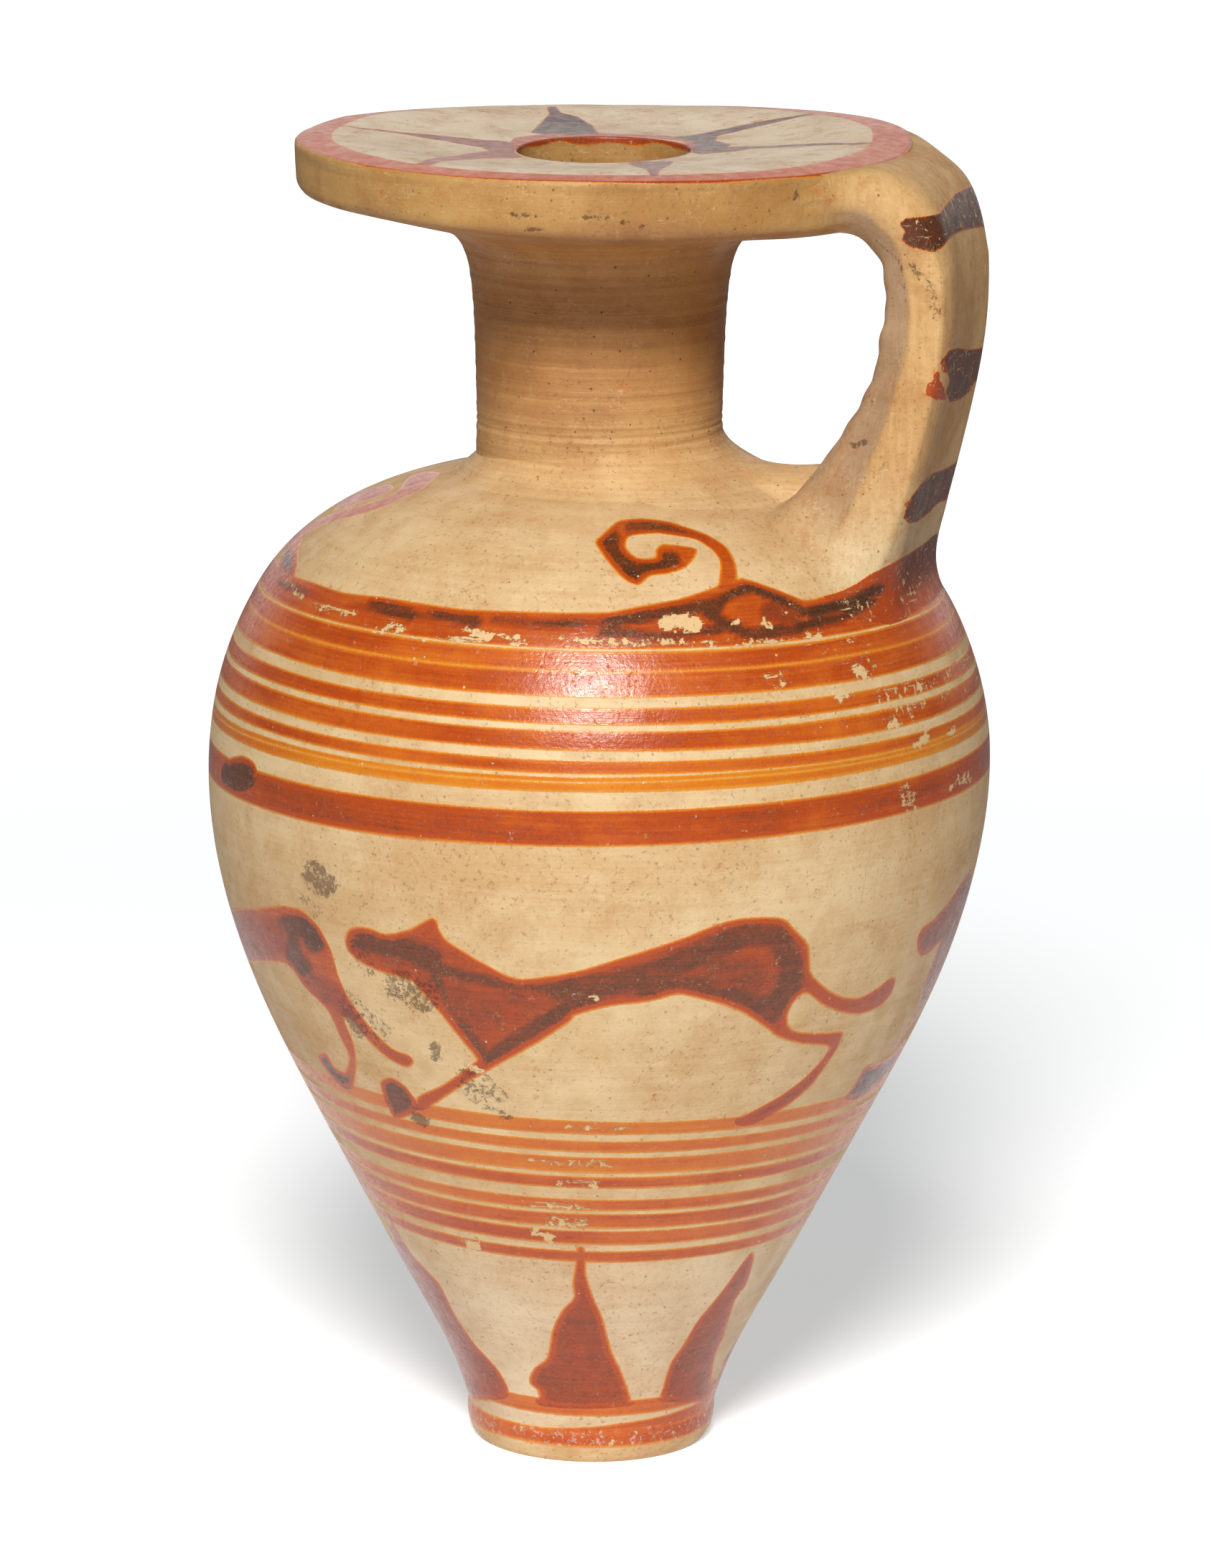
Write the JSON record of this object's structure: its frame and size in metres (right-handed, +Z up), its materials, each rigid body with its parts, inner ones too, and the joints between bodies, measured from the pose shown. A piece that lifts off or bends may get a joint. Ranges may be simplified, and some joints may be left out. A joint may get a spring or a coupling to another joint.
{
  "type": "miniature aryballos",
  "caption": "Small ovoid fired-clay oil jar on a narrow foot, with a broad flat mouth disc, a narrow neck and one strap handle from rim to shoulder.",
  "frame": {"origin": "middle of the foot's flat underside, on the vessel's axis", "axes": "+Z up along the vessel's axis, +X towards the handle"},
  "size_m": [0.0438, 0.0438, 0.0738],
  "materials": {
    "painted_clay": "burnished buff clay with red-brown slip bands, rays, hook spirals and running hounds",
    "bare_clay": "matt buff clay, wheel-marked and hand-smoothed"
  },
  "bodies": {
    "root": {"foot": "painted_clay", "body": "painted_clay", "neck": "bare_clay", "neck_luting": "bare_clay", "mouth_disc": "painted_clay", "handle": "painted_clay", "handle_top_luting": "bare_clay", "handle_root_luting": "painted_clay"}
  },
  "joints": []
}
